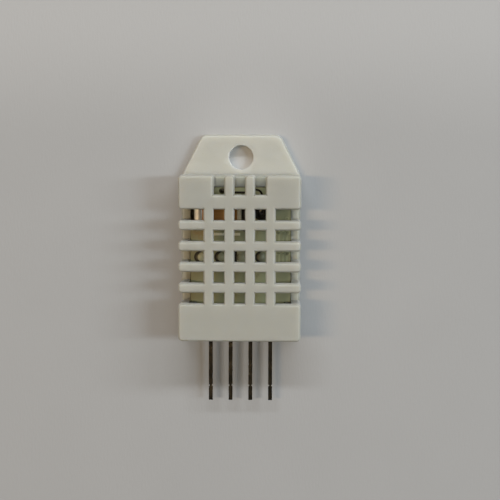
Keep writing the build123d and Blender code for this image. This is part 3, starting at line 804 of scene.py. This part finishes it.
class SENSOR_OT_connector(bpy.types.Operator):
    """Give the pins, plated holes and solder joints their metals"""

    bl_idname = "sensor.connector"
    bl_label = "Connector and solder"

    def execute(self, context):
        look = context.scene.sensor_metal
        pins = strip_metal(
            "pin_metal",
            look.pin_colour,
            look.tarnish_colour,
            rough=0.10,
            stretch=(1, 0.06, 1),
            depth=0.001 * MM,
        )
        finish_nodes(pins, "power_pin", "data_pin", "spare_pin", "ground_pin")
        solder = solder_metal("solder", look.tin_colour, rough=0.5)
        finish_nodes(solder, "pin_solder", "sensor_clip_solder")
        finish_nodes(pooled_solder(look), "test_point_solder", "test_point_eyelets")
        dull = solder_metal("dull_solder", look.tarnish_colour, rough=0.4)
        finish_nodes(dull, "bead_lead_solder")
        plating = strip_metal("tinned_plating", look.tin_colour, shade(look.tin_colour, 0.7), rough=0.46)
        finish_nodes(plating, "pin_eyelets")
        return {"FINISHED"}


class SENSOR_OT_humidity(bpy.types.Operator):
    """Give the humidity element its ceramic, film, combs and clips"""

    bl_idname = "sensor.humidity"
    bl_label = "Humidity element"

    def execute(self, context):
        look = context.scene.sensor_parts
        metals = context.scene.sensor_metal
        finish_nodes(fired_ceramic("carrier_ceramic", look.ceramic_colour), "humidity_carrier")
        finish_nodes(sensing_film(look), "humidity_film")
        gold = metals.gold_colour
        combs = strip_metal(
            "comb_metal", gold, shade(gold, 0.6), rough=0.3, stretch=(0.2, 1, 1), depth=0.002 * MM
        )
        finish_nodes(combs, "comb_electrodes")
        bright = metals.clip_colour
        clip = strip_metal("clip_metal", bright, shade(bright, 0.85), rough=0.42, stretch=(1, 0.2, 1))
        finish_nodes(clip, "left_sensor_clip")
        pale = strip_metal(
            "pale_clip", gold, shade(gold, 0.85), rough=0.4, stretch=(1, 0.2, 1), metallic=0.4
        )
        finish_nodes(pale, "right_sensor_clip")
        return {"FINISHED"}


class SENSOR_OT_temperature(bpy.types.Operator):
    """Give the temperature bead its resin, chip and leads"""

    bl_idname = "sensor.temperature"
    bl_label = "Temperature bead"

    def execute(self, context):
        look = context.scene.sensor_parts
        metals = context.scene.sensor_metal
        finish_nodes(dipped_resin(look), "thermistor_coating")
        finish_nodes(fired_ceramic("sensing_oxide", look.oxide_colour, rough=0.5), "thermistor_chip")
        wire = strip_metal("lead_wire", metals.wire_colour, shade(metals.wire_colour, 0.6), rough=0.34)
        finish_nodes(wire, "short_bead_lead", "long_bead_lead", "bead_lead_eyelets")
        return {"FINISHED"}


class SENSOR_OT_chips(bpy.types.Operator):
    """Give the microcontroller, capacitor and resistors their finishes"""

    bl_idname = "sensor.chips"
    bl_label = "Chips on the back"

    def execute(self, context):
        look = context.scene.sensor_parts
        metals = context.scene.sensor_metal
        finish_nodes(moulded_resin(look), "microcontroller_body")
        finish_nodes(fired_ceramic("capacitor_ceramic", look.capacitor_colour), "supply_capacitor_body")
        glaze = fired_ceramic("resistor_glaze", look.resistor_colour, rough=0.3)
        finish_nodes(glaze, "pull_up_resistor_body", "divider_resistor_body")
        ends = solder_metal("tinned_ends", metals.tin_colour, rough=0.30)
        finish_nodes(
            ends,
            "microcontroller_leads",
            "supply_capacitor_ends",
            "pull_up_resistor_ends",
            "divider_resistor_ends",
        )
        return {"FINISHED"}


def paper_material(setup):
    """Pale paper with soft mottling, short fibres, and painted light: a paler sheet beyond the tab and a glow
    round the tab.
    """
    material, graph = new_material("paper")
    where = graph.place()
    paper = setup.paper_colour
    mottle = graph.noise(where, size=14.0, detail=3.0)
    fibres = graph.noise(graph.place((1, 0.25, 1)), size=0.25, detail=3.0, rough=0.6)
    tint = graph.blend(mottle, shade(paper, 0.965), shade(paper, 1.03))
    tint = graph.blend(fibres * 0.16, tint, shade(paper, 0.88))
    # The sheet is painted paler beyond the tab than round the pins, as painted light
    light_beyond_tab = graph.step(graph.part(where, "Y"), low=15.0, high=33.0)
    tint = graph.blend(light_beyond_tab, tint, shade(paper, 1.15))
    # A paler glow is painted round the tab, and most of all within the tab's hole, as painted light
    painted_glow = graph.spot(where, (0.5, 15.5), near=3.5, far=11.5)
    painted_glow = painted_glow + graph.spot(where, (-0.3, 14.0), near=1.2, far=3.0) * 0.7
    graph.surface(
        base_color=graph.blend(painted_glow * 0.5, tint, shade(paper, 1.2)),
        roughness=0.85,
        specular_ior_level=0.2,
        normal=graph.bump(fibres, depth=0.02 * MM),
    )
    return material


def add_panel(name, setup):
    """A soft level panel overhead that gives the paper its share of the light."""
    lean, spread = PANELS[name]
    share = getattr(setup, name + "_share")
    tint = getattr(setup, name + "_tint")
    rise = setup.panel_height
    # A panel off to one side is further away and is seen at a slant, from the paper and from itself
    tilt = 1 + lean[0] ** 2 + lean[1] ** 2
    brightness = sum(weight * channel for weight, channel in zip(LUMINANCE, tint))
    light = bpy.data.lights.new(name + "_panel", "AREA")
    light.shape = "RECTANGLE"
    light.size = spread[0] * rise
    light.size_y = spread[1] * rise
    light.color = tint
    light.energy = share / brightness * (math.pi * rise * tilt) ** 2
    lamp = bpy.data.objects.new(name + "_panel", light)
    lamp.location = (lean[0] * rise, lean[1] * rise, rise)
    # The camera stands before the overhead panel, so level shiny faces don't mirror it
    lamp.visible_glossy = name != "overhead"
    bpy.context.scene.collection.objects.link(lamp)


def light_room(setup):
    """Room light that is pale at the horizon and dark overhead, where the ceiling isn't lit."""
    world = bpy.data.worlds.new("room")
    bpy.context.scene.world = world
    world.use_nodes = True
    graph = Graph(world.node_tree)
    here = graph.node("ShaderNodeTexCoord", output="Generated")
    height = graph.node(
        "ShaderNodeClamp", None, {"Value": graph.part(here, "Z"), "Min": 0.0, "Max": 1.0}
    )
    # A sky of h * (1 - z) lights a level surface with h / 3
    strength = (1 - height) * (3 * setup.sky_share) + CEILING_GLOW
    light = graph.node(
        "ShaderNodeBackground", None, {"Color": (1.0, 0.99, 0.97), "Strength": strength}
    )
    graph.node("ShaderNodeOutputWorld", None, {"Surface": light})


def lay_paper(setup):
    """The sheet of paper just under the module."""
    mesh = bpy.data.meshes.new("paper_floor")
    sheet = bmesh.new()
    bmesh.ops.create_grid(sheet, x_segments=8, y_segments=8, size=setup.paper_reach)
    sheet.to_mesh(mesh)
    sheet.free()
    mesh.materials.append(paper_material(setup))
    floor = bpy.data.objects.new("paper_floor", mesh)
    floor.location.z = cad_bounds[0][2] - 0.01 * MM
    bpy.context.scene.collection.objects.link(floor)


def stand_camera(setup):
    """The camera, looking almost straight down."""
    data = bpy.data.cameras.new("camera")
    data.sensor_width = 36.0
    data.lens = setup.lens
    data.clip_start = 0.01
    data.clip_end = 50.0
    camera = bpy.data.objects.new("camera", data)
    turn = Vector(setup.camera_turn)
    place = Matrix.Translation(setup.camera_place)
    camera.matrix_world = place @ Matrix.Rotation(turn.length, 4, turn)
    bpy.context.scene.collection.objects.link(camera)
    bpy.context.scene.camera = camera


class SENSOR_OT_studio(bpy.types.Operator):
    """Lay the paper, hang the lamps and stand the camera"""

    bl_idname = "sensor.studio"
    bl_label = "Studio"

    def execute(self, context):
        setup = context.scene.sensor_studio
        lay_paper(setup)
        for name in PANELS:
            add_panel(name, setup)
        light_room(setup)
        stand_camera(setup)
        context.scene.view_settings.view_transform = "Standard"
        return {"FINISHED"}


class SENSOR_PT_panel(bpy.types.Panel):
    """Sidebar panel that lists the operators and their settings"""

    bl_idname = "SENSOR_PT_panel"
    bl_label = "Sensor module"
    bl_space_type = "VIEW_3D"
    bl_region_type = "UI"
    bl_category = "Sensor module"

    def draw(self, context):
        for operator in OPERATORS:
            self.layout.operator(operator.bl_idname)
        for name in SETTINGS:
            group = getattr(context.scene, name)
            box = self.layout.box()
            box.label(text=group.bl_rna.description)
            for field in type(group).__annotations__:
                box.prop(group, field)


SETTINGS = {
    "sensor_case": CaseLook,
    "sensor_board": BoardLook,
    "sensor_metal": MetalLook,
    "sensor_parts": SensorLook,
    "sensor_studio": StudioSetup,
}
OPERATORS = (
    SENSOR_OT_case,
    SENSOR_OT_board,
    SENSOR_OT_connector,
    SENSOR_OT_humidity,
    SENSOR_OT_temperature,
    SENSOR_OT_chips,
    SENSOR_OT_studio,
)
CLASSES = (*SETTINGS.values(), *OPERATORS, SENSOR_PT_panel)


def register():
    """Makes the classes and their settings known to Blender."""
    for entry in CLASSES:
        bpy.utils.register_class(entry)
    for name, group in SETTINGS.items():
        setattr(bpy.types.Scene, name, PointerProperty(type=group))


def unregister():
    """Takes the settings and classes away again."""
    for name in SETTINGS:
        delattr(bpy.types.Scene, name)
    for entry in reversed(CLASSES):
        bpy.utils.unregister_class(entry)


def main():
    """Dresses the module piece by piece."""
    register()
    for operator in OPERATORS:
        category, name = operator.bl_idname.split(".")
        getattr(getattr(bpy.ops, category), name)()


if __name__ == "__main__":
    main()
